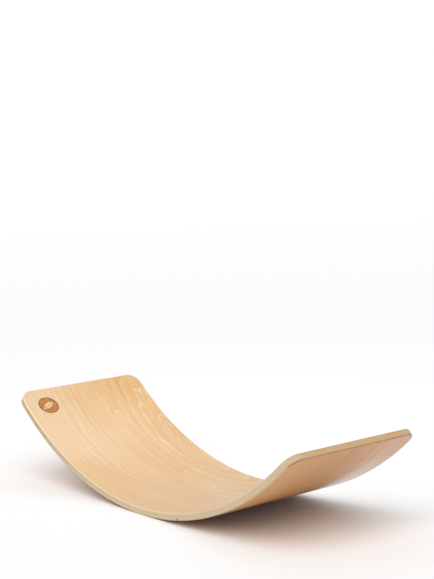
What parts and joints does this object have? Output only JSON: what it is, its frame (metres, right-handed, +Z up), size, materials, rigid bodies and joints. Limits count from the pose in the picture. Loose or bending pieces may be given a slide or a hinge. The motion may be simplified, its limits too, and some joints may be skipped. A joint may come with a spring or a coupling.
{
  "type": "balance board",
  "caption": "Bent plywood balance board: one pressed arc of veneers with rounded corners and eased edges, which rocks on its curved underside.",
  "frame": {"origin": "middle of the line on which the board rocks, on the floor", "axes": "+X along the board, +Y across it, +Z up"},
  "size_m": [0.8656, 0.3, 0.1808],
  "materials": {
    "face_veneer": "beech, grain along the board, satin clear lacquer",
    "lengthwise_core": "beech, grain along the board, its edge sanded and lacquered",
    "crosswise_core": "beech, grain across the board, its edge sanded and lacquered"
  },
  "bodies": {
    "root": {"bottom_face_veneer": "face_veneer", "core_ply_8_crosswise": "crosswise_core", "core_ply_7_lengthwise": "lengthwise_core", "core_ply_6_crosswise": "crosswise_core", "core_ply_5_lengthwise": "lengthwise_core", "core_ply_4_crosswise": "crosswise_core", "core_ply_3_lengthwise": "lengthwise_core", "core_ply_2_crosswise": "crosswise_core", "top_face_veneer": "face_veneer"}
  },
  "joints": []
}
